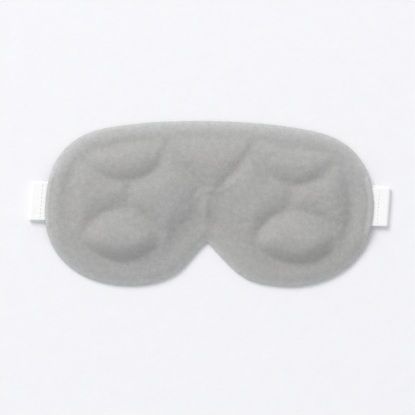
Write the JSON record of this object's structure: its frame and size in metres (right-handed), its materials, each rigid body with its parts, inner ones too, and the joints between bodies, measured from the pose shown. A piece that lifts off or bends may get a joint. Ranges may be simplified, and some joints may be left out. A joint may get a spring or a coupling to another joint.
{
  "type": "sleep eye mask",
  "caption": "Padded contoured sleep eye mask with raised cells, a nose notch and a two-part elastic strap that folds out from behind it and closes with a hook patch.",
  "frame": {"origin": "under the middle of the mask, in the plane that the mask lies on", "axes": "+X along the mask's width, towards the side with the long strap half; +Y towards the brow edge; +Z out of the front cover, away from the face"},
  "size_m": [0.2334, 0.107, 0.0122],
  "materials": {
    "cover_fabric": "brushed grey knit with a short nap",
    "lining_fabric": "smooth grey knit",
    "blackout_film": "matte black film",
    "foam": "open-cell foam",
    "elastic": "white woven elastic",
    "thread": "white sewing thread",
    "hook_tape": "white hook tape",
    "loop_tape": "white loop pile tape"
  },
  "bodies": {
    "mask": {"front_cover": "cover_fabric", "back_lining": "lining_fabric", "blackout_film": "blackout_film", "foam_core": "foam", "bridge_pad": "foam", "left_upper_pad": "foam", "left_outer_pad": "foam", "left_inner_pad": "foam", "left_lower_pad": "foam", "right_upper_pad": "foam", "right_outer_pad": "foam", "right_inner_pad": "foam", "right_lower_pad": "foam", "left_tab": "elastic", "left_fold": "elastic", "left_tab_stitches": "thread", "right_tab": "elastic", "right_fold": "elastic", "right_tab_stitches": "thread"},
    "left_strap": {"left_strap": "elastic", "hook_patch": "hook_tape", "hook_patch_stitches": "thread"},
    "right_strap": {"right_strap": "elastic", "loop_patch": "loop_tape", "loop_patch_stitches": "thread"}
  },
  "joints": [
    {"name": "left_strap_fold", "type": "hinge", "parent": "mask", "child": "left_strap", "pos_m": [-0.1141, 0, 0.0019], "axis": [0.0567, 0.9984, 0], "range_deg": [0, 179.5], "deforming": ["left_fold"]},
    {"name": "right_strap_fold", "type": "hinge", "parent": "mask", "child": "right_strap", "pos_m": [0.1141, 0, 0.0019], "axis": [-0.0567, -0.9984, 0], "range_deg": [0, 179.5], "deforming": ["right_fold"]}
  ]
}
